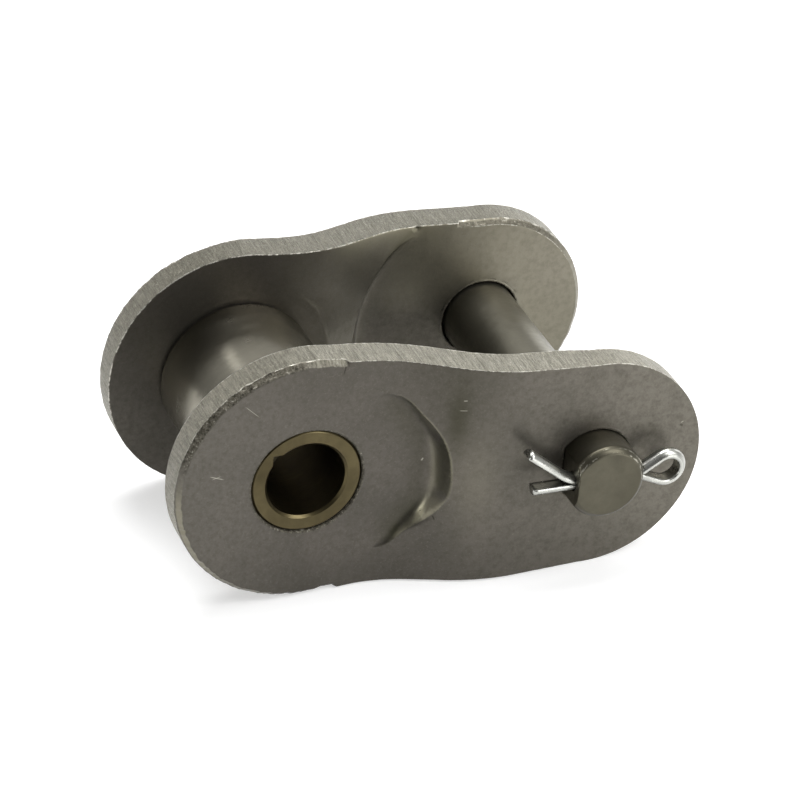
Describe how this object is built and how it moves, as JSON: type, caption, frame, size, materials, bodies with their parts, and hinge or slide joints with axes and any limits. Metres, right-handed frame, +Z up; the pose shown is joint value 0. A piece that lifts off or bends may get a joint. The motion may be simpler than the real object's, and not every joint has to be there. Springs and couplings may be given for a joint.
{
  "type": "offset chain link",
  "caption": "Cranked offset link for a heavy roller chain: two side plates, bush, free-turning roller and a flatted connecting pin held by a cotter pin.",
  "frame": {"origin": "centre of the bush, halfway between the side plates", "axes": "+X from the bush to the connecting pin, +Y along the bush away from the cotter pin, +Z up"},
  "size_m": [0.0951, 0.0681, 0.0476],
  "materials": {
    "near_plate": "dull grey-brown heat-treated steel with bright sheared edges",
    "far_plate": "dull grey-brown heat-treated steel with bright sheared edges",
    "bush": "smooth steel with an olive-brown temper tint",
    "roller": "smooth dull grey-brown steel",
    "connecting_pin": "smooth hardened steel, satin",
    "cotter_pin": "bright zinc plating"
  },
  "bodies": {
    "link": {"near_plate": "near_plate", "far_plate": "far_plate", "bush": "bush", "connecting_pin": "connecting_pin", "cotter_pin": "cotter_pin"},
    "roller": {"roller": "roller"}
  },
  "joints": [
    {"name": "roller_spin", "type": "hinge", "parent": "link", "child": "roller", "pos_m": [0, 0, 0], "axis": [0, 1, 0], "continuous": true}
  ]
}
